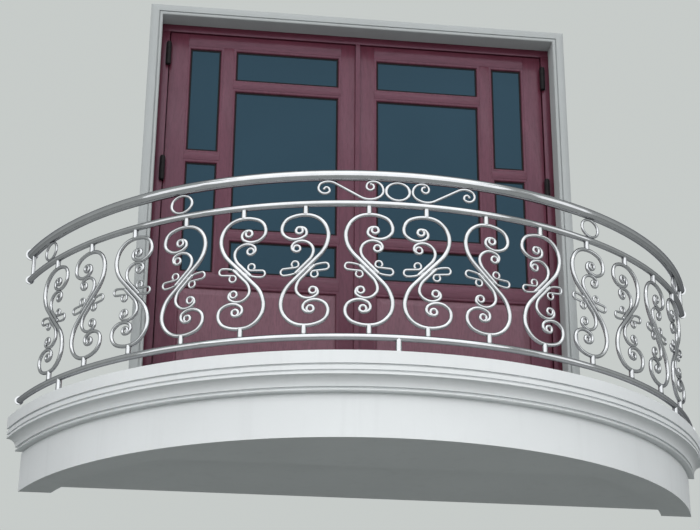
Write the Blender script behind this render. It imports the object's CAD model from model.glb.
"""Looks of the bow-fronted balcony: plaster, polished tube, lacquered timber, glass and stage."""
import math

import bmesh
import bpy
from bpy.props import FloatProperty, FloatVectorProperty, IntProperty, PointerProperty
from mathutils import Matrix, Vector


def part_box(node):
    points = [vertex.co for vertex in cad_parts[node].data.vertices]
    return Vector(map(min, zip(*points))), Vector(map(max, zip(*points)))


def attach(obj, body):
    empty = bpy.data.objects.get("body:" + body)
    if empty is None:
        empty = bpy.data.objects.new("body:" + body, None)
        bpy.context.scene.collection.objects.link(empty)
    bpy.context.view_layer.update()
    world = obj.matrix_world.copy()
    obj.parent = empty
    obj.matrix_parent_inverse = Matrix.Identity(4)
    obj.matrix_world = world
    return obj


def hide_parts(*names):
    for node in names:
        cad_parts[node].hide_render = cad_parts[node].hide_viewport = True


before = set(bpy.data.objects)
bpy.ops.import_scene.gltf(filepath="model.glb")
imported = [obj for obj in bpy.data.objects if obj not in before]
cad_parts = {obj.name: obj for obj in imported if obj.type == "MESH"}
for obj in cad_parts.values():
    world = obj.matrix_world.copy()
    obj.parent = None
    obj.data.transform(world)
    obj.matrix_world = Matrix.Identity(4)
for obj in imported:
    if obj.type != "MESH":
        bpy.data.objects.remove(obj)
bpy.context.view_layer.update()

bl_info = {
    "name": "Bow Balcony Looks",
    "version": (1, 0, 0),
    "blender": (4, 5, 0),
    "location": "View3D > Sidebar > Balcony",
    "description": "Dresses a bow-fronted balcony and its door with trim and procedural finishes",
    "category": "Add Mesh",
}

MM = 0.001

# Places that are read from the frame
FLOOR_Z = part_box("balcony_slab")[1].z
HANDRAIL_LOW, HANDRAIL_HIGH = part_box("handrail")
UPPER_LOW, UPPER_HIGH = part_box("upper_rail")
BOTTOM_LOW, BOTTOM_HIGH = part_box("bottom_rail")
LEAF_LOW, LEAF_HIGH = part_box("door_leaf_right")
FRAME_LOW, FRAME_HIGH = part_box("door_frame")
SURROUND_LOW, SURROUND_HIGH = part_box("door_surround")

UPPER_Z = (UPPER_LOW.z + UPPER_HIGH.z) / 2
BOTTOM_Z = (BOTTOM_LOW.z + BOTTOM_HIGH.z) / 2
RAIL_D = UPPER_HIGH.z - UPPER_LOW.z
HANDRAIL_D = HANDRAIL_HIGH.z - HANDRAIL_LOW.z
BAND_Z = (UPPER_HIGH.z + HANDRAIL_LOW.z) / 2
BAND_H = HANDRAIL_LOW.z - UPPER_HIGH.z
WALL_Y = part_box("wall_flanges")[1].y
DOOR_X = (FRAME_LOW.x + FRAME_HIGH.x) / 2

# The railing's plan: one circle, its centre behind the wall face
RAIL_R = 2.063
ARC_Y = HANDRAIL_LOW.y + HANDRAIL_D / 2 + RAIL_R

# Half a scroll panel and a crest scroll. Each bar is given as its start in the panel (x, y, lean),
# its straight reach and its bends, each (radius or length in mm, turn in degrees)
LARGE_SCROLL = ((0, 0, 134), 102, [(167, -36), (115, -88), (173, -34), (69, -68), (49, -46), (78, -78),
                                   (28, -144), (9, 0), (17, -320)])
INNER_SCROLL = ((45.7, -18.5, 134), 93, [(85, -34.5), (46, -44), (64, -94), (24, -52), (26, -90),
                                         (17, -320)])
WAIST_CURL = ((-9, 14, -43), 0, [(170, 41.5), (18, 176), (58, 0), (17.5, -300)])
CREST_INNER = ((-37, 13.45, -30.4), 100, [(94, 60), (44.5, 80), (52.4, 90), (25, 100), (18.5, 150),
                                          (14, 95)])
CREST_OUTER = ((-37, 13.45, 149.6), 49, [(71, 60), (30.5, 80), (32.6, 100), (17, 130), (13, 95)])

# They are scaled to the rails from the heights that the lists were drawn for
STUB_LENGTH = 60.5 * MM
SCROLL_TOP = (UPPER_Z - BOTTOM_Z) / 2 - STUB_LENGTH
DRAWN_SCROLL_TOP, DRAWN_BAND_H = 298 * MM, 111.6 * MM
PANEL_SCALE = SCROLL_TOP / DRAWN_SCROLL_TOP
CREST_SCALE = BAND_H / DRAWN_BAND_H

# How far pieces stand along the railing from its middle, in metres
CREST_REACH = 0.241
RING_REACHES = (-2.175, -1.149, 1.149, 2.175)
PANEL_FIRST, PANEL_PITCH = 0.1476, 0.3223
RIGHT_REACHES = [PANEL_FIRST + PANEL_PITCH * step for step in range(7)]
PANEL_REACHES = [-reach for reach in reversed(RIGHT_REACHES)] + RIGHT_REACHES

# A bend is drawn in so many steps for each degree, and a small one in fewer
SMALL_BEND = 50 * MM
SMALL_BEND_STEPS, BEND_STEPS = 0.09, 0.16

# The right leaf's openings: left, right, bottom and top, in metres from the meeting line and the slab
WIDE = (0.123, 0.760)
NARROW = (0.860, 1.045)
LOWER_PANEL = (WIDE[0], NARROW[1], 0.195, 0.875)
LOW_PANE = (*WIDE, 0.984, 1.184)
MAIN_PANE = (*WIDE, 1.262, 2.190)
TOP_PANE = (*WIDE, 2.272, 2.472)
SIDE_PANE = (*NARROW, 0.980, 1.689)
SIDE_TOP_PANE = (*NARROW, 1.774, 2.472)
PANES = (LOW_PANE, MAIN_PANE, TOP_PANE, SIDE_PANE, SIDE_TOP_PANE)
HINGE_HEIGHTS = (0.300, 1.630, 2.420)


class RailSizes(bpy.types.PropertyGroup):
    """Sizes of the bars that are drawn out for the scrollwork."""
    scroll_d: FloatProperty(
        name="Large scroll", description="Diameter of the large scroll's bar",
        default=24 * MM, unit="LENGTH")
    inner_d: FloatProperty(
        name="Inner scroll", description="Diameter of the inner scroll's bar",
        default=19 * MM, unit="LENGTH")
    curl_d: FloatProperty(
        name="Waist curl", description="Diameter of the waist curls' bar",
        default=13 * MM, unit="LENGTH")
    crest_d: FloatProperty(
        name="Crest scroll", description="Diameter of the crest scrolls' bar",
        default=15.5 * MM, unit="LENGTH")
    ring_d: FloatProperty(
        name="Ring", description="Diameter of the rings' bar",
        default=14 * MM, unit="LENGTH")
    ring_oval: FloatProperty(
        name="Ring width", description="Width of a ring over its height",
        default=1.25)
    stub_d: FloatProperty(
        name="Stub", description="Diameter of the stubs between scrolls and rails",
        default=28 * MM, unit="LENGTH")
    weld: FloatProperty(
        name="Weld", description="Width of the ground weld round a joint",
        default=3 * MM, unit="LENGTH")
    facets: IntProperty(
        name="Facets", description="Sides of a drawn round bar",
        default=16)


class DoorSizes(bpy.types.PropertyGroup):
    """Sizes of the timber members and their mouldings."""
    slope_w: FloatProperty(
        name="Moulding width", description="Width of the moulding round an opening",
        default=18 * MM, unit="LENGTH")
    slope_d: FloatProperty(
        name="Moulding depth", description="Depth of that moulding",
        default=12 * MM, unit="LENGTH")
    lip_d: FloatProperty(
        name="Glass depth", description="Depth of the glass behind the leaf's face",
        default=16 * MM, unit="LENGTH")
    arris: FloatProperty(
        name="Arris", description="Rounding of the timber's edges",
        default=1.5 * MM, unit="LENGTH")
    hinge_r: FloatProperty(
        name="Hinge radius", description="Radius of the hinge barrels",
        default=16.5 * MM, unit="LENGTH")
    hinge_l: FloatProperty(
        name="Hinge length", description="Length of the hinge barrels",
        default=164 * MM, unit="LENGTH")
    gasket: FloatProperty(
        name="Gasket", description="Visible width of the black gasket at the glass",
        default=9 * MM, unit="LENGTH")
    shadow_gap: FloatProperty(
        name="Shadow gap", description="How much the leaf's edge is planed back round it",
        default=4 * MM, unit="LENGTH")
    quirk: FloatProperty(
        name="Quirk", description="Width of the groove round the plaster opening",
        default=8 * MM, unit="LENGTH")
    bead: FloatProperty(
        name="Bead", description="Width of the rounded edge between opening and groove",
        default=16 * MM, unit="LENGTH")
    slope: FloatProperty(
        name="Surround slope", description="Width of the surround's sloped outer edge",
        default=30 * MM, unit="LENGTH")


class Finishes(bpy.types.PropertyGroup):
    """Colours of the surfaces."""
    plaster: FloatVectorProperty(
        name="Plaster", description="White masonry paint",
        subtype="COLOR", size=3, default=(0.77, 0.79, 0.795), min=0, max=1)
    wall_paint: FloatVectorProperty(
        name="Wall paint", description="Duller white round the door",
        subtype="COLOR", size=3, default=(0.385, 0.405, 0.405), min=0, max=1)
    steel: FloatVectorProperty(
        name="Steel", description="Polished stainless steel",
        subtype="COLOR", size=3, default=(0.47, 0.475, 0.49), min=0, max=1)
    timber_dark: FloatVectorProperty(
        name="Dark grain", description="Dark grain of the timber",
        subtype="COLOR", size=3, default=(0.063, 0.011, 0.019), min=0, max=1)
    timber_light: FloatVectorProperty(
        name="Light grain", description="Light grain of the timber",
        subtype="COLOR", size=3, default=(0.110, 0.026, 0.042), min=0, max=1)
    glass: FloatVectorProperty(
        name="Glass", description="Tint of the glass",
        subtype="COLOR", size=3, default=(0.014, 0.031, 0.046), min=0, max=1)
    hinge: FloatVectorProperty(
        name="Hinges", description="Black paint of the hinges",
        subtype="COLOR", size=3, default=(0.012, 0.011, 0.012), min=0, max=1)
    backdrop: FloatVectorProperty(
        name="Backdrop", description="Pale colour behind the object",
        subtype="COLOR", size=3, default=(0.57, 0.60, 0.585), min=0, max=1)


class StageSizes(bpy.types.PropertyGroup):
    """The camera, the lamps and the floor."""
    floor_z: FloatProperty(
        name="Ground", description="Height of the ground below the slab's root",
        default=-4.05, unit="LENGTH")
    front: FloatProperty(
        name="Front lamp", description="Brightness of the large front lamp",
        default=1.45)
    overhead: FloatProperty(
        name="Top lamp", description="Brightness of the large lamp above",
        default=1.6)
    sides: FloatProperty(
        name="Side lamps", description="Brightness of the two side lamps",
        default=1.2)
    back: FloatProperty(
        name="Back lamp", description="Brightness of the lamp behind the door",
        default=1.1)
    sky: FloatProperty(
        name="Sky", description="Strength of the light from above",
        default=0.22)
    ground: FloatProperty(
        name="Ground light", description="Strength of the light from below",
        default=0.36)
    focal: FloatProperty(
        name="Focal length", description="Focal length for a 36 mm wide sensor, in mm",
        default=81.70)


class Value:
    """A shader value: expressions written with it add their Math nodes."""

    def __init__(self, nodes, socket):
        self.nodes = nodes
        self.socket = socket

    def _math(self, operation, *operands):
        return self.nodes.node("ShaderNodeMath", {"operation": operation},
                               dict(enumerate(operands)))

    def __add__(self, other):
        return self._math("ADD", self, other)

    def __mul__(self, other):
        return self._math("MULTIPLY", self, other)

    def __radd__(self, other):
        return self._math("ADD", other, self)

    def __rmul__(self, other):
        return self._math("MULTIPLY", other, self)

    def larger(self, other):
        return self._math("MAXIMUM", self, other)

    def ramp(self, low, high):
        """The value spread so that low gives 0 and high gives 1, and held there beyond."""
        return self.nodes.node("ShaderNodeMapRange", {"clamp": True},
                               {"Value": self, "From Min": low, "From Max": high})


class Nodes:
    """A node tree, with one method that adds any node and one that fills a socket."""
    COLOUR_A, COLOUR_B, MIXED_COLOUR = 6, 7, 2  # the colour sockets of a Mix node

    def __init__(self, tree):
        self.tree = tree

    def fill(self, socket, value):
        if isinstance(value, Value):
            self.tree.links.new(value.socket, socket)
        else:
            socket.default_value = value

    def node(self, kind, settings=None, inputs=None, output=0):
        made = self.tree.nodes.new(kind)
        for name, setting in (settings or {}).items():
            setattr(made, name, setting)
        for name, value in (inputs or {}).items():
            self.fill(made.inputs[name], value)
        return Value(self, made.outputs[output])

    def mix(self, factor, low, high):
        """Two colours mixed by a factor; each is a value or a plain colour."""
        low, high = (colour if isinstance(colour, Value) else (*colour, 1) for colour in (low, high))
        inputs = {"Factor": factor, self.COLOUR_A: low, self.COLOUR_B: high}
        return self.node("ShaderNodeMix", {"data_type": "RGBA"}, inputs, self.MIXED_COLOUR)

    def looked_at(self):
        """1 for what the camera sees, straight, in a mirror or through glass, and 0 for light."""
        seen = self.node("ShaderNodeLightPath", output="Is Camera Ray")
        for ray in ("Is Glossy Ray", "Is Transmission Ray"):
            seen = seen.larger(self.node("ShaderNodeLightPath", output=ray))
        return seen


class Finish(Nodes):
    """A material and its main shader."""

    def __init__(self, name):
        self.material = bpy.data.materials.new(name)
        self.material.use_nodes = True
        super().__init__(self.material.node_tree)
        self.surface = self.tree.nodes["Principled BSDF"]

    def set(self, **sockets):
        """Fills sockets of the main shader, named with _ for a space."""
        for name, value in sockets.items():
            self.fill(self.surface.inputs[name.replace("_", " ")], value)

    def noise(self, size, detail=3.0, roughness=0.55, scale=(1, 1, 1), distortion=0.0):
        where = self.node("ShaderNodeTexCoord", output="Object")
        spread = self.node("ShaderNodeMapping", {}, {"Vector": where, "Scale": scale})
        return self.node("ShaderNodeTexNoise", {}, {
            "Vector": spread, "Scale": size, "Detail": detail,
            "Roughness": roughness, "Distortion": distortion})

    def bump(self, height, distance, strength=1.0):
        self.set(Normal=self.node("ShaderNodeBump", {}, {
            "Height": height, "Distance": distance, "Strength": strength}, "Normal"))


def to_leaf(mesh, side):
    """Moves what is drawn on the right leaf, about the meeting line, to its leaf."""
    bmesh.ops.scale(mesh, vec=(side, 1, 1), verts=mesh.verts)
    bmesh.ops.translate(mesh, vec=(DOOR_X, 0, 0), verts=mesh.verts)


def shade(colour, amount):
    """A colour made darker or lighter."""
    return tuple(channel * amount for channel in colour)


def plaster_finish(name, colour):
    """White masonry paint over render, slightly clouded, with faint runs below the edges."""
    finish = Finish(name)
    clouds = finish.noise(1.3, 4.0).ramp(0.35, 0.7)
    runs = finish.noise(2.2, 3.0, scale=(7, 7, 0.5)).ramp(0.55, 0.8)
    grime = finish.mix(clouds, colour, shade(colour, 0.945))
    finish.set(Base_Color=finish.mix(runs * 0.35, grime, shade(colour, 0.86)))
    finish.set(Roughness=finish.noise(9.0) * 0.2 + 0.72, Specular_IOR_Level=0.3)
    finish.bump(finish.noise(55.0, 4.0) * 0.6 + finish.noise(4.0) * 0.9, 1.2 * MM, 0.55)
    return finish.material


def steel_finish():
    """Polished stainless steel with faint polishing marks."""
    finish = Finish("rail_steel")
    colour = bpy.context.scene.balcony_finishes.steel
    smears = finish.noise(14.0, 3.0).ramp(0.35, 0.75)
    finish.set(Base_Color=finish.mix(smears, colour, shade(colour, 0.90)), Metallic=1.0)
    finish.set(Roughness=smears * 0.08 + 0.06, Specular_Tint=(0.30, 0.30, 0.32, 1))
    finish.bump(finish.noise(420.0, 2.0), 0.04 * MM, 0.5)
    return finish.material


DUST = (0.17, 0.165, 0.17)  # the colour of dust on timber


def timber_finish(name, along, tone=1.0, dust=0.0):
    """Red-brown lacquered hardwood with its grain along x or z, lighter and dustier where asked."""
    colours = bpy.context.scene.balcony_finishes
    finish = Finish(name)
    stretch = (0.12, 1, 1) if along == "x" else (1, 1, 0.12)
    figure = finish.noise(26.0, 5.0, 0.6, stretch, 0.7).ramp(0.18, 0.84)
    pores = finish.noise(210.0, 3.0, 0.5, stretch).ramp(0.5, 0.62)
    wood = finish.mix(figure, shade(colours.timber_dark, tone), shade(colours.timber_light, tone))
    if dust > 0:
        wood = finish.mix(dust, wood, DUST)
    finish.set(Base_Color=finish.mix(pores * 0.22, wood, shade(colours.timber_dark, 0.55)))
    finish.set(Roughness=pores * 0.12 + 0.34, Coat_Weight=0.2, Coat_Roughness=0.16)
    finish.set(Specular_IOR_Level=0.3, Specular_Tint=(0.77, 0.68, 0.93, 1))
    finish.bump(figure * 0.4 + pores, 0.3 * MM, 0.5)
    return finish.material


def glass_finish():
    """Dark blue-grey glass that mirrors a little."""
    finish = Finish("pane")
    colour = bpy.context.scene.balcony_finishes.glass
    haze = finish.noise(1.1, 2.0).ramp(0.3, 0.75)
    finish.set(Base_Color=finish.mix(haze, colour, shade(colour, 1.25)))
    finish.set(Roughness=haze * 0.02 + 0.03, IOR=1.52)
    finish.set(Specular_IOR_Level=0.235, Specular_Tint=(0.42, 0.76, 1.0, 1))
    return finish.material


def black_finish(name, rough, gloss):
    """Black rubber or black paint with a little dust."""
    finish = Finish(name)
    colour = bpy.context.scene.balcony_finishes.hinge
    dust = finish.noise(40.0, 3.0).ramp(0.5, 0.8)
    finish.set(Base_Color=finish.mix(dust * 0.4, colour, shade(colour, 2.5)))
    finish.set(Roughness=dust * 0.2 + rough, Specular_IOR_Level=gloss)
    finish.bump(finish.noise(300.0), 0.1 * MM, 0.4)
    return finish.material


MATERIALS = {}


def material(name):
    """Each finish is made once, when the first piece asks for it."""
    colours = bpy.context.scene.balcony_finishes
    makers = {
        "plaster": lambda: plaster_finish("plaster", colours.plaster),
        "wall_paint": lambda: plaster_finish("wall_paint", colours.wall_paint),
        "rail_steel": steel_finish,
        "timber_upright": lambda: timber_finish("timber_upright", "z"),
        "timber_across": lambda: timber_finish("timber_across", "x"),
        "timber_panel": lambda: timber_finish("timber_panel", "z", 1.5, 0.22),
        "pane": glass_finish,
        "gasket": lambda: black_finish("gasket", 0.7, 0.1),
        "hinge_black": lambda: black_finish("hinge_black", 0.38, 0.08),
    }
    if name not in MATERIALS:
        MATERIALS[name] = makers[name]()
    return MATERIALS[name]


def dress(nodes, name):
    """Gives CAD nodes a finish."""
    for node in nodes:
        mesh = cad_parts[node].data
        mesh.materials.clear()
        mesh.materials.append(material(name))


def piece(name, mesh, finish_name, replaces=(), smooth=40.0):
    """Makes an object of a bmesh, smooth but for edges sharper than an angle, and lets it ride."""
    data = bpy.data.meshes.new(name)
    bmesh.ops.recalc_face_normals(mesh, faces=mesh.faces)
    mesh.to_mesh(data)
    mesh.free()
    data.materials.append(material(finish_name))
    for polygon in data.polygons:
        polygon.use_smooth = True
    data.set_sharp_from_angle(angle=math.radians(smooth))
    made = bpy.data.objects.new(name, data)
    bpy.context.scene.collection.objects.link(made)
    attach(made, "root")
    if replaces:
        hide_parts(*replaces)


def edges_of(verts):
    """The edges whose two ends are among the vertices."""
    inside = set(verts)
    return list(dict.fromkeys(e for v in verts for e in v.link_edges if inside.issuperset(e.verts)))


def moved_verts(mesh, edges, move):
    """Extrudes edges, moves what they give and returns its vertices."""
    out = bmesh.ops.extrude_edge_only(mesh, edges=edges)["geom"]
    verts = [v for v in out if isinstance(v, bmesh.types.BMVert)]
    bmesh.ops.transform(mesh, matrix=move, verts=verts)
    return verts


def spin_round(mesh, geom, centre, steps):
    """Spins a profile once round an upright axis and closes the seam."""
    bmesh.ops.spin(mesh, geom=geom, cent=centre, axis=(0, 0, 1), dvec=(0, 0, 0), angle=math.tau,
                   steps=steps, use_merge=True, use_duplicate=False)


def soften(mesh, edges, width, segments=2):
    """Rounds edges off."""
    bmesh.ops.bevel(mesh, geom=edges, offset=width, offset_type="OFFSET", segments=segments,
                    profile=0.5, material=-1, affect="EDGES", clamp_overlap=True)


def block(mesh, low, high, arris):
    """A box between two corners with softened edges."""
    low, high = Vector(low), Vector(high)
    verts = bmesh.ops.create_cube(mesh, size=1.0)["verts"]
    bmesh.ops.scale(mesh, vec=high - low, verts=verts)
    bmesh.ops.translate(mesh, vec=(low + high) / 2, verts=verts)
    if arris > 0:
        soften(mesh, edges_of(verts), arris)


def on_rail(reach, z):
    """The place on the railing some way along it from the middle: x along it, y inwards, z up."""
    turn = Matrix.Rotation(reach / RAIL_R, 4, "Z")
    return Matrix.Translation((0, ARC_Y, z)) @ turn @ Matrix.Translation((0, -RAIL_R, 0))


def upright(place):
    """The same place with y up and z outwards, for shapes that are drawn flat."""
    return place @ Matrix.Rotation(math.radians(90), 4, "X")


class RoundBar:
    """A round bar that is drawn out, ring by ring, along straights and arcs in its x-y plane."""

    def __init__(self, mesh, place, diameter, facets):
        self.mesh = mesh
        self.place = place.copy()
        self.diameter = diameter
        facing = place @ Matrix.Rotation(math.radians(90), 4, "Y")
        made = bmesh.ops.create_circle(mesh, cap_ends=False, segments=facets, radius=diameter / 2,
                                       matrix=facing)
        self.ring = edges_of(made["verts"])

    def draw(self, move, diameter):
        verts = moved_verts(self.mesh, self.ring, move)
        self.place = move @ self.place
        factor = diameter / self.diameter
        centre = Matrix.Translation(-self.place.translation)
        bmesh.ops.scale(self.mesh, vec=(factor,) * 3, space=centre, verts=verts)
        self.diameter = diameter
        self.ring = edges_of(verts)

    def straight(self, length, diameter=None):
        along = self.place.to_3x3() @ Vector((length, 0, 0))
        self.draw(Matrix.Translation(along), diameter or self.diameter)

    def arc(self, radius, turn, diameter):
        """Turns left for a positive angle and right for a negative one, and thins evenly."""
        steps = max(3, round(abs(turn) * (SMALL_BEND_STEPS if radius < SMALL_BEND else BEND_STEPS)))
        side = radius if turn > 0 else -radius
        centre = self.place @ Vector((0, side, 0))
        axis = self.place.to_3x3() @ Vector((0, 0, 1))
        first = self.diameter
        for step in range(1, steps + 1):
            swing = Matrix.Rotation(math.radians(turn) / steps, 4, axis)
            move = Matrix.Translation(centre) @ swing @ Matrix.Translation(-centre)
            self.draw(move, first + (diameter - first) * step / steps)

    def chain(self, bends, scale, end_diameter):
        """A whole chain of bends, thinning evenly along its length."""
        lengths = [radius * abs(math.radians(turn)) if turn else radius for radius, turn in bends]
        first = self.diameter
        done = 0
        for (radius, turn), length in zip(bends, lengths):
            done += length
            diameter = first + (end_diameter - first) * done / sum(lengths)
            if turn:
                self.arc(radius * scale * MM, turn, diameter)
            else:
                self.straight(radius * scale * MM, diameter)

    def ball(self, diameter):
        """A small ball over the end that the bar has reached."""
        bmesh.ops.create_uvsphere(self.mesh, u_segments=14, v_segments=9, radius=diameter / 2,
                                  matrix=self.place)


def draw_scroll(mesh, about, scroll, scale, diameter, thinning):
    """One bar along its straight and its bends, closed by a ball at its start and at its end."""
    (x, y, lean), reach, bends = scroll
    start = Matrix.Translation((x * scale * MM, y * scale * MM, 0))
    leaning = Matrix.Rotation(math.radians(lean), 4, "Z")
    bar = RoundBar(mesh, about @ start @ leaning, diameter, bpy.context.scene.balcony_rail.facets)
    bar.ball(diameter)
    if reach:
        bar.straight(reach * scale * MM)
    bar.chain(bends, scale, diameter - thinning)
    bar.ball(bar.diameter + 3 * MM)


def draw_stub(mesh, about, sizes):
    """A stub from a large scroll's crown up into the rail, with a ground weld round its end."""
    chamfer = 0.6 * MM
    upwards = Matrix.Rotation(math.radians(90), 4, "Z")
    foot = about @ Matrix.Translation((0, SCROLL_TOP, 0)) @ upwards
    stub = RoundBar(mesh, foot, sizes.stub_d - 2 * chamfer, 20)
    bmesh.ops.contextual_create(mesh, geom=stub.ring)
    stub.straight(chamfer, sizes.stub_d)
    stub.straight(STUB_LENGTH - RAIL_D / 2 - chamfer + 1 * MM)
    for length, weld in ((1.0 * MM, 0.6), (2.0 * MM, 1.0), (2.5 * MM, 0.0)):
        stub.straight(length, sizes.stub_d + sizes.weld * weld)


def draw_panel(mesh):
    """One scroll panel about its own middle: y up, z towards the street."""
    sizes = bpy.context.scene.balcony_rail
    for turned in (Matrix.Identity(4), Matrix.Rotation(math.pi, 4, "Z")):
        for scroll, diameter, thinning in ((LARGE_SCROLL, sizes.scroll_d, 7.2 * MM),
                                           (INNER_SCROLL, sizes.inner_d, 4.8 * MM),
                                           (WAIST_CURL, sizes.curl_d, 0.6 * MM)):
            draw_scroll(mesh, turned, scroll, PANEL_SCALE, diameter, thinning)
        draw_stub(mesh, turned, sizes)


class BALCONY_OT_masonry(bpy.types.Operator):
    """Paint the slab, the edge beam, the soffit panel and the cornice"""
    bl_idname = "balcony.masonry"
    bl_label = "Masonry"

    def execute(self, context):
        dress(["balcony_slab", "edge_beam", "soffit_panel", "cornice_moulding"], "plaster")
        return {"FINISHED"}


class BALCONY_OT_surround(bpy.types.Operator):
    """Run the plaster surround round the door: a rounded edge, a groove, a flat and a slope"""
    bl_idname = "balcony.surround"
    bl_label = "Surround"

    def execute(self, context):
        sizes = context.scene.balcony_door
        low, high = SURROUND_LOW, SURROUND_HIGH
        hair = 0.01 * MM
        width = high.z - FRAME_HIGH.z - hair
        bead, quirk, radius = sizes.bead, sizes.quirk, sizes.bead * 0.6
        rounded = [(radius - radius * math.sin(turn), low.y + radius - radius * math.cos(turn))
                   for turn in map(math.radians, (90, 60, 30, 0))]
        outward = [(0, high.y), *rounded, (bead, low.y), (bead + 1 * MM, low.y + quirk),
                   (bead + quirk - 1 * MM, low.y + quirk), (bead + quirk, low.y),
                   (width - sizes.slope, low.y), (width, WALL_Y), (width, high.y)]
        mesh = bmesh.new()
        verts = [mesh.verts.new((FRAME_LOW.x - out, y, low.z)) for out, y in outward]
        chain = [mesh.edges.new(pair) for pair in zip(verts, verts[1:] + verts[:1])]
        bmesh.ops.contextual_create(mesh, geom=chain)
        top = FRAME_HIGH.z
        rise = FRAME_LOW.x + top - low.z
        mitre = Matrix(((1, 0, 0, 0), (0, 1, 0, 0), (-1, 0, 1, rise), (0, 0, 0, 1)))
        both_sides = FRAME_LOW.x + FRAME_HIGH.x
        across = Matrix(((-1, 0, 0, both_sides), (0, 1, 0, 0), (0, 0, 1, 0), (0, 0, 0, 1)))
        down = Matrix(((1, 0, 0, 0), (0, 1, 0, 0), (0, 0, 0, low.z), (0, 0, 0, 1)))
        for move in (mitre, across, down):
            chain = edges_of(moved_verts(mesh, chain, move))
        bmesh.ops.contextual_create(mesh, geom=chain)
        piece("run_surround", mesh, "wall_paint", ["door_surround"], smooth=35.0)
        return {"FINISHED"}


class BALCONY_OT_rails(bpy.types.Operator):
    """Polish the rails, posts and flanges"""
    bl_idname = "balcony.rails"
    bl_label = "Rails"

    def execute(self, context):
        dress(["handrail", "upper_rail", "bottom_rail", "foot_posts", "end_posts", "wall_flanges"],
              "rail_steel")
        return {"FINISHED"}


class BALCONY_OT_rings(bpy.types.Operator):
    """Bend the oval rings of the crest band and set them between the two rails"""
    bl_idname = "balcony.rings"
    bl_label = "Rings"

    def execute(self, context):
        for name, node, reaches in (("oval_crest_ring", "crest_ring", (0,)),
                                    ("oval_band_rings", "band_rings", RING_REACHES)):
            mesh = bmesh.new()
            for reach in reaches:
                self.ring(context.scene.balcony_rail, mesh, upright(on_rail(reach, BAND_Z)))
            piece(name, mesh, "rail_steel", [node])
        return {"FINISHED"}

    def ring(self, sizes, mesh, place):
        """A bar spun about the band's middle and then widened to an oval."""
        outward = Matrix.Translation(((BAND_H - sizes.ring_d) / 2, 0, 0))
        facing = Matrix.Rotation(math.radians(90), 4, "X")
        verts = bmesh.ops.create_circle(mesh, cap_ends=False, segments=sizes.facets,
                                        radius=sizes.ring_d / 2, matrix=outward @ facing)["verts"]
        spin_round(mesh, verts + edges_of(verts), (0, 0, 0), 64)
        ring = [v for v in mesh.verts if not v.tag]
        bmesh.ops.scale(mesh, vec=(sizes.ring_oval, 1, 1), verts=ring)
        bmesh.ops.transform(mesh, matrix=place, verts=ring)
        for vert in ring:
            vert.tag = True


class BALCONY_OT_scroll_panels(bpy.types.Operator):
    """Draw out the fourteen scroll panels in polished bar"""
    bl_idname = "balcony.scroll_panels"
    bl_label = "Scroll Panels"

    def execute(self, context):
        middle = (UPPER_Z + BOTTOM_Z) / 2
        mirror = Matrix.Scale(-1, 4, (1, 0, 0))
        for number, reach in enumerate(PANEL_REACHES, 1):
            place = upright(on_rail(reach, middle))
            if number % 2 == 0:
                place = place @ mirror
            mesh = bmesh.new()
            draw_panel(mesh)
            bmesh.ops.transform(mesh, matrix=place, verts=mesh.verts)
            node = f"scroll_panel_{number:02d}"
            piece(f"drawn_{node}", mesh, "rail_steel", [node], smooth=35.0)
        return {"FINISHED"}


class BALCONY_OT_crest(bpy.types.Operator):
    """Draw out the two crest scrolls on either side of the middle ring"""
    bl_idname = "balcony.crest"
    bl_label = "Crest Scrolls"

    def execute(self, context):
        diameter = context.scene.balcony_rail.crest_d
        place = upright(on_rail(-CREST_REACH, BAND_Z))
        for side, node in ((1, "crest_scroll_left"), (-1, "crest_scroll_right")):
            mesh = bmesh.new()
            for scroll in (CREST_INNER, CREST_OUTER):
                draw_scroll(mesh, Matrix.Identity(4), scroll, CREST_SCALE, diameter, 2.2 * MM)
            bmesh.ops.transform(mesh, matrix=place, verts=mesh.verts)
            bmesh.ops.scale(mesh, vec=(side, 1, 1), verts=mesh.verts)
            piece(f"drawn_{node}", mesh, "rail_steel", [node], smooth=50.0)
        return {"FINISHED"}


def ring_round(mesh, opening, outward, front, depth, round_off):
    """A mitred ring round an opening, with its inner front edge rounded off."""
    x0, x1, z0, z1 = opening
    verts = bmesh.ops.create_grid(mesh, x_segments=1, y_segments=1, size=0.5)["verts"]
    bmesh.ops.transform(mesh, matrix=Matrix.Rotation(math.radians(90), 4, "X"), verts=verts)
    size = Vector((x1 - x0 + 2 * outward, 1, z1 - z0 + 2 * outward))
    bmesh.ops.scale(mesh, vec=size, verts=verts)
    bmesh.ops.translate(mesh, vec=((x0 + x1) / 2, front, (z0 + z1) / 2), verts=verts)
    face = list(verts[0].link_faces)
    ring = bmesh.ops.inset_region(mesh, faces=face, thickness=outward, depth=0, use_boundary=True,
                                  use_even_offset=True)["faces"]
    inner_edges = list(face[0].edges)
    bmesh.ops.delete(mesh, geom=face, context="FACES_ONLY")
    out = bmesh.ops.extrude_face_region(mesh, geom=ring)["geom"]
    pushed = [v for v in out if isinstance(v, bmesh.types.BMVert)]
    bmesh.ops.translate(mesh, vec=(0, depth, 0), verts=pushed)
    soften(mesh, inner_edges, round_off, 4)


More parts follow.
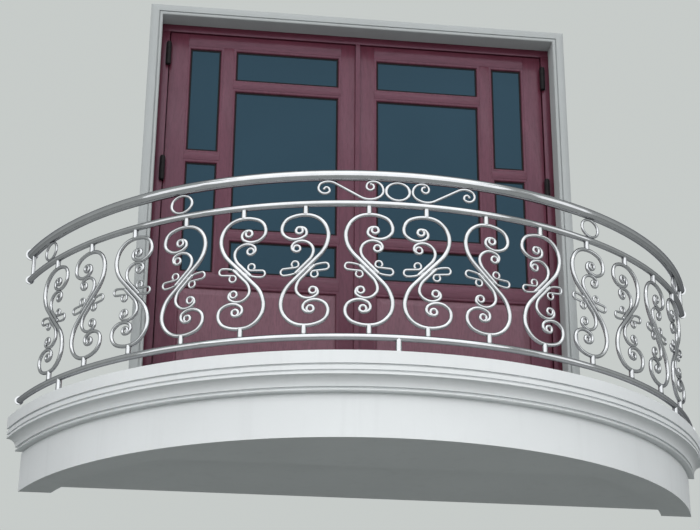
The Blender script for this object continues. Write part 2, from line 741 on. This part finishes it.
class BALCONY_OT_door_frame(bpy.types.Operator):
    """Build the fixed frame from two jambs, a head and their stops, and the sill"""
    bl_idname = "balcony.door_frame"
    bl_label = "Door Frame"

    def execute(self, context):
        arris = context.scene.balcony_door.arris
        face = 50 * MM
        stop = 15 * MM
        stop_y = LEAF_HIGH.y + 1 * MM
        top = FRAME_HIGH.z
        mesh = bmesh.new()
        for edge, inward in ((FRAME_LOW.x, 1), (FRAME_HIGH.x, -1)):
            inner = edge + inward * face
            lip = inner + inward * stop
            for one, other, front in ((edge, inner, FRAME_LOW.y), (inner, lip, stop_y)):
                block(mesh, (min(one, other), front, FLOOR_Z),
                      (max(one, other), FRAME_HIGH.y, top - face), arris)
        piece("door_jambs", mesh, "timber_upright", ["door_frame"])
        mesh = bmesh.new()
        block(mesh, (FRAME_LOW.x, FRAME_LOW.y, top - face), FRAME_HIGH, arris)
        block(mesh, (FRAME_LOW.x + face, stop_y, top - face - stop),
              (FRAME_HIGH.x - face, FRAME_HIGH.y, top - face), arris)
        piece("door_head", mesh, "timber_across")
        dress(["door_sill"], "timber_across")
        return {"FINISHED"}


class BALCONY_OT_door_leaves(bpy.types.Operator):
    """Build the two leaves from stiles, rails and mitred mouldings"""
    bl_idname = "balcony.door_leaves"
    bl_label = "Door Leaves"

    def execute(self, context):
        for side, name in ((-1, "left"), (1, "right")):
            self.members(context.scene.balcony_door, side, name)
        dress(["meeting_bead"], "timber_upright")
        dress(["lower_panel_left", "lower_panel_right"], "timber_panel")
        return {"FINISHED"}

    def members(self, sizes, side, name):
        """Uprights and cross pieces as flat members, and a moulding round each opening."""
        moulding = sizes.slope_w
        front, back = LEAF_LOW.y, LEAF_HIGH.y
        low, high = LEAF_LOW.z, LEAF_HIGH.z - sizes.shadow_gap
        hinge_edge = LEAF_HIGH.x - DOOR_X - sizes.shadow_gap

        def below(opening):
            return FLOOR_Z + opening[2] - moulding

        def above(opening):
            return FLOOR_Z + opening[3] + moulding

        wide = (WIDE[0] - moulding, WIDE[1] + moulding)
        narrow = (NARROW[0] - moulding, NARROW[1] + moulding)
        whole = (wide[0], narrow[1])
        uprights = [(LEAF_LOW.x - DOOR_X, wide[0], low, high), (narrow[1], hinge_edge, low, high),
                    (wide[1], narrow[0], below(SIDE_PANE), above(TOP_PANE))]
        cross = [(*whole, above(TOP_PANE), high), (*whole, low, below(LOWER_PANEL)),
                 (*whole, above(LOWER_PANEL), below(LOW_PANE)),
                 (*wide, above(LOW_PANE), below(MAIN_PANE)),
                 (*wide, above(MAIN_PANE), below(TOP_PANE)),
                 (*narrow, above(SIDE_PANE), below(SIDE_TOP_PANE))]
        for part, members, grain, node in (
                ("leaf_uprights", uprights, "timber_upright", [f"door_leaf_{name}"]),
                ("leaf_cross_pieces", cross, "timber_across", [])):
            mesh = bmesh.new()
            for x0, x1, z0, z1 in members:
                block(mesh, (x0, front, z0), (x1, back, z1), sizes.arris)
            to_leaf(mesh, side)
            piece(f"{part}_{name}", mesh, grain, node)
        mesh = bmesh.new()
        step = 1.5 * MM
        for x0, x1, z0, z1 in (*PANES, LOWER_PANEL):
            opening = (x0, x1, FLOOR_Z + z0, FLOOR_Z + z1)
            ring_round(mesh, opening, moulding, front + step, back - front - step, sizes.slope_d)
        to_leaf(mesh, side)
        piece(f"leaf_mouldings_{name}", mesh, "timber_upright", smooth=35.0)


class BALCONY_OT_glazing(bpy.types.Operator):
    """Set the glass and the black gasket round each pane"""
    bl_idname = "balcony.glazing"
    bl_label = "Glazing"

    def execute(self, context):
        width = context.scene.balcony_door.gasket
        thick = 3 * MM
        front = LEAF_LOW.y + context.scene.balcony_door.lip_d - thick
        dress(["glazing_left", "glazing_right"], "pane")
        for side, name in ((-1, "left"), (1, "right")):
            mesh = bmesh.new()
            for x0, x1, z0, z1 in PANES:
                opening = (x0 + width, x1 - width, FLOOR_Z + z0 + width, FLOOR_Z + z1 - width)
                ring_round(mesh, opening, width, front, thick, thick / 2)
            to_leaf(mesh, side)
            piece(f"gaskets_{name}", mesh, "gasket")
        return {"FINISHED"}


class BALCONY_OT_hinges(bpy.types.Operator):
    """Turn the three barrel hinges of each leaf, with a groove between their knuckles"""
    bl_idname = "balcony.hinges"
    bl_label = "Hinges"

    def execute(self, context):
        low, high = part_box("hinges_right")
        radius = context.scene.balcony_door.hinge_r
        half = context.scene.balcony_door.hinge_l / 2
        groove, taper, shoulder, plate = 1.2 * MM, 4 * MM, 11 * MM, 2 * MM
        tip = [(0, half), (radius * 0.45, half), (radius * 0.85, half - taper),
               (radius, half - shoulder)]
        profile = [(x, -z) for x, z in tip]
        for z in (-half / 3, half / 3):
            profile += [(radius, z - groove), (radius - groove, z - groove / 2),
                        (radius - groove, z + groove / 2), (radius, z + groove)]
        profile += reversed(tip)
        for side, name in ((-1, "left"), (1, "right")):
            mesh = bmesh.new()
            for height in HINGE_HEIGHTS:
                middle = Vector((high.x - DOOR_X - radius, low.y + radius, FLOOR_Z + height))
                verts = [mesh.verts.new(middle + Vector((x, 0, z))) for x, z in profile]
                edges = [mesh.edges.new(pair) for pair in zip(verts, verts[1:])]
                spin_round(mesh, verts + edges, middle, 28)
                block(mesh, (low.x - DOOR_X, low.y + radius, middle.z - half + shoulder),
                      (low.x - DOOR_X + plate, high.y, middle.z + half - shoulder), 0)
            bmesh.ops.remove_doubles(mesh, verts=mesh.verts, dist=1e-5)
            to_leaf(mesh, side)
            piece(f"turned_hinges_{name}", mesh, "hinge_black", [f"hinges_{name}"],
                  smooth=35.0)
        return {"FINISHED"}


class BALCONY_OT_stage(bpy.types.Operator):
    """Set the camera, the lamps, the sky and the pale ground"""
    bl_idname = "balcony.stage"
    bl_label = "Stage"

    def execute(self, context):
        scene = context.scene
        stage = scene.balcony_stage
        scene.view_settings.view_transform = "Standard"
        self.camera(scene)
        self.world(scene)
        self.ground(scene)
        self.lamp("front_lamp", stage.front, (-1.5, -12.5, 4.2), (-1.0, -1.0, 1.5), (27, 15))
        self.lamp("top_lamp", stage.overhead, (-0.5, -7.5, 12.5), (0.0, -1.5, 0.5), (18, 9))
        for side, name in ((-1, "left_lamp"), (1, "right_lamp")):
            self.lamp(name, stage.sides, (side * 14.5, -8.0, 4.0), (0, -1.0, 1.0), (6, 13))
        self.lamp("back_lamp", stage.back, (1.0, 11.0, 5.5), (0, 0, 1.0), (16, 10))
        return {"FINISHED"}

    def camera(self, scene):
        """The camera stands below, to the left, and looks up. Its angles are in radians."""
        stand = Vector((-1.1470, -8.7976, -2.4884))
        yaw, pitch, roll = 0.12361, 0.39335, 0.00742
        level = Vector((math.sin(yaw), math.cos(yaw), 0))
        ahead = level * math.cos(pitch) + Vector((0, 0, math.sin(pitch)))
        right = Vector((math.cos(yaw), -math.sin(yaw), 0))
        up = right.cross(ahead)
        tilted_right = right * math.cos(roll) + up * math.sin(roll)
        tilted_up = up * math.cos(roll) - right * math.sin(roll)
        axes = Matrix((tilted_right, tilted_up, -ahead)).transposed().to_4x4()
        data = bpy.data.cameras.new("camera")
        data.lens = scene.balcony_stage.focal
        data.sensor_width = 36
        data.sensor_fit = "HORIZONTAL"
        data.clip_end = 200
        made = bpy.data.objects.new("camera", data)
        made.matrix_world = Matrix.Translation(stand) @ axes
        scene.collection.objects.link(made)
        scene.camera = made

    def world(self, scene):
        """A pale backdrop where it is seen, and a soft light from above and below."""
        stage = scene.balcony_stage
        backdrop = (*scene.balcony_finishes.backdrop, 1)
        world = bpy.data.worlds.new("sky")
        world.use_nodes = True
        scene.world = world
        sky = Nodes(world.node_tree)
        facing = sky.node("ShaderNodeTexCoord", output="Generated")
        height = sky.node("ShaderNodeSeparateXYZ", {}, {"Vector": facing}, "Z")
        light = sky.mix(height.ramp(-0.2, 0.24), shade((0.97, 0.99, 1.0), stage.ground),
                        shade((0.94, 0.98, 1.0), stage.sky))
        lit = sky.node("ShaderNodeBackground", {}, {"Color": light})
        seen = sky.node("ShaderNodeBackground", {}, {"Color": backdrop})
        both = sky.node("ShaderNodeMixShader", {}, {0: sky.looked_at(), 1: lit, 2: seen})
        sky.fill(sky.tree.nodes["World Output"].inputs["Surface"], both)

    def ground(self, scene):
        """A pale ground far below, which glows faintly where it is seen and lights nothing by it."""
        mesh = bmesh.new()
        verts = bmesh.ops.create_circle(mesh, cap_ends=True, segments=96, radius=60.0)["verts"]
        bmesh.ops.translate(mesh, vec=(0, 0, scene.balcony_stage.floor_z), verts=verts)
        data = bpy.data.meshes.new("ground")
        mesh.to_mesh(data)
        mesh.free()
        pale = Finish("ground")
        seen = pale.looked_at()
        backdrop = scene.balcony_finishes.backdrop
        pale.set(Base_Color=pale.mix(seen, shade(backdrop, 0.40), shade(backdrop, 0.30)))
        pale.set(Emission_Color=pale.mix(seen, (0, 0, 0), shade(backdrop, 0.50)))
        pale.set(Roughness=0.9, Emission_Strength=1.0)
        data.materials.append(pale.material)
        made = bpy.data.objects.new("ground", data)
        scene.collection.objects.link(made)

    def lamp(self, name, brightness, place, target, size):
        """A soft rectangular lamp, as wide and as high as its size, that faces its target."""
        data = bpy.data.lights.new(name, "AREA")
        data.shape = "RECTANGLE"
        data.size, data.size_y = size
        data.energy = brightness * math.pi * size[0] * size[1]
        data.color = (0.98, 0.99, 1.0)
        made = bpy.data.objects.new(name, data)
        turn = (Vector(target) - Vector(place)).to_track_quat("-Z", "Y")
        made.matrix_world = Matrix.Translation(place) @ turn.to_matrix().to_4x4()
        bpy.context.scene.collection.objects.link(made)


GROUPS = {"balcony_rail": RailSizes, "balcony_door": DoorSizes, "balcony_finishes": Finishes,
          "balcony_stage": StageSizes}
PIECES = (BALCONY_OT_masonry, BALCONY_OT_surround, BALCONY_OT_rails, BALCONY_OT_rings,
          BALCONY_OT_scroll_panels, BALCONY_OT_crest, BALCONY_OT_door_frame, BALCONY_OT_door_leaves,
          BALCONY_OT_glazing, BALCONY_OT_hinges, BALCONY_OT_stage)


class BALCONY_PT_pieces(bpy.types.Panel):
    """Lists the pieces and their settings"""
    bl_idname = "BALCONY_PT_pieces"
    bl_label = "Balcony"
    bl_space_type = "VIEW_3D"
    bl_region_type = "UI"
    bl_category = "Balcony"

    def draw(self, context):
        for group in GROUPS:
            box = self.layout.box()
            settings = getattr(context.scene, group)
            for name in settings.bl_rna.properties.keys():
                if name not in ("rna_type", "name"):
                    box.prop(settings, name)
        for operator in PIECES:
            self.layout.operator(operator.bl_idname)


def register():
    for group in GROUPS.values():
        bpy.utils.register_class(group)
    for name, group in GROUPS.items():
        setattr(bpy.types.Scene, name, PointerProperty(type=group))
    for operator in PIECES:
        bpy.utils.register_class(operator)
    bpy.utils.register_class(BALCONY_PT_pieces)


def unregister():
    bpy.utils.unregister_class(BALCONY_PT_pieces)
    for operator in reversed(PIECES):
        bpy.utils.unregister_class(operator)
    for name in GROUPS:
        delattr(bpy.types.Scene, name)
    for group in GROUPS.values():
        bpy.utils.unregister_class(group)


def main():
    register()
    bpy.ops.balcony.masonry()
    bpy.ops.balcony.surround()
    bpy.ops.balcony.rails()
    bpy.ops.balcony.rings()
    bpy.ops.balcony.scroll_panels()
    bpy.ops.balcony.crest()
    bpy.ops.balcony.door_frame()
    bpy.ops.balcony.door_leaves()
    bpy.ops.balcony.glazing()
    bpy.ops.balcony.hinges()
    bpy.ops.balcony.stage()


if __name__ == "__main__":
    main()
